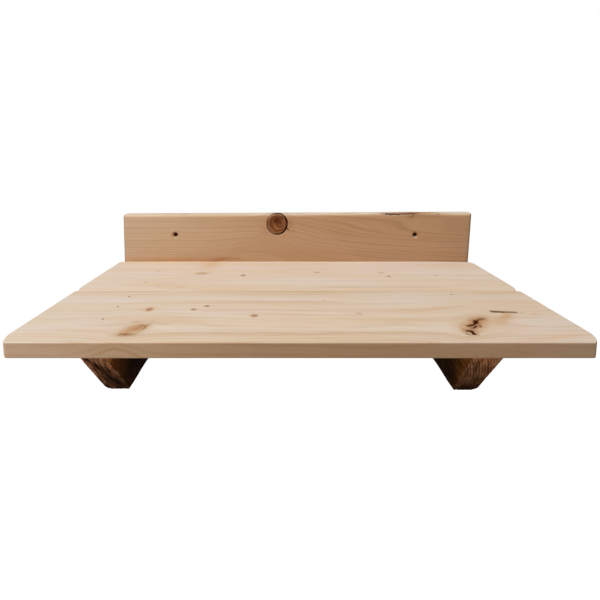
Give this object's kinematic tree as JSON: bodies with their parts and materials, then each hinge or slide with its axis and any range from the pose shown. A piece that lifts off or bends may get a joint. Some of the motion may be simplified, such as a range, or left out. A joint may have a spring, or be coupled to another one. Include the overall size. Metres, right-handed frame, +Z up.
{
  "type": "wall-mounted cat shelf",
  "caption": "Wall-hung lying shelf for a cat: solid-wood deck planks nailed to rough-sawn bracket beams, with a back board that is bored and countersunk for wall screws",
  "frame": {"origin": "on the wall plane, midway between the two wall-screw holes", "axes": "+X to the right seen from the front and along the shelf, +Y towards the wall, +Z up"},
  "size_m": [0.5, 0.318, 0.155],
  "materials": {
    "planed_wood": "planed softwood, oiled, satin",
    "dark_wood": "rough-sawn softwood, stained dark brown, dull",
    "nail_steel": "bare steel, dulled",
    "screw_steel": "zinc plated"
  },
  "bodies": {
    "root": {"back_board": "planed_wood", "front_plank": "planed_wood", "rear_plank": "planed_wood", "left_bracket": "dark_wood", "right_bracket": "dark_wood", "left_nail_1": "nail_steel", "left_nail_2": "nail_steel", "left_nail_3": "nail_steel", "left_nail_4": "nail_steel", "left_nail_5": "nail_steel", "right_nail_1": "nail_steel", "right_nail_2": "nail_steel", "right_nail_3": "nail_steel", "right_nail_4": "nail_steel", "left_bracket_screw_upper": "screw_steel", "left_bracket_screw_lower": "screw_steel", "right_bracket_screw_upper": "screw_steel", "right_bracket_screw_lower": "screw_steel"}
  },
  "joints": []
}
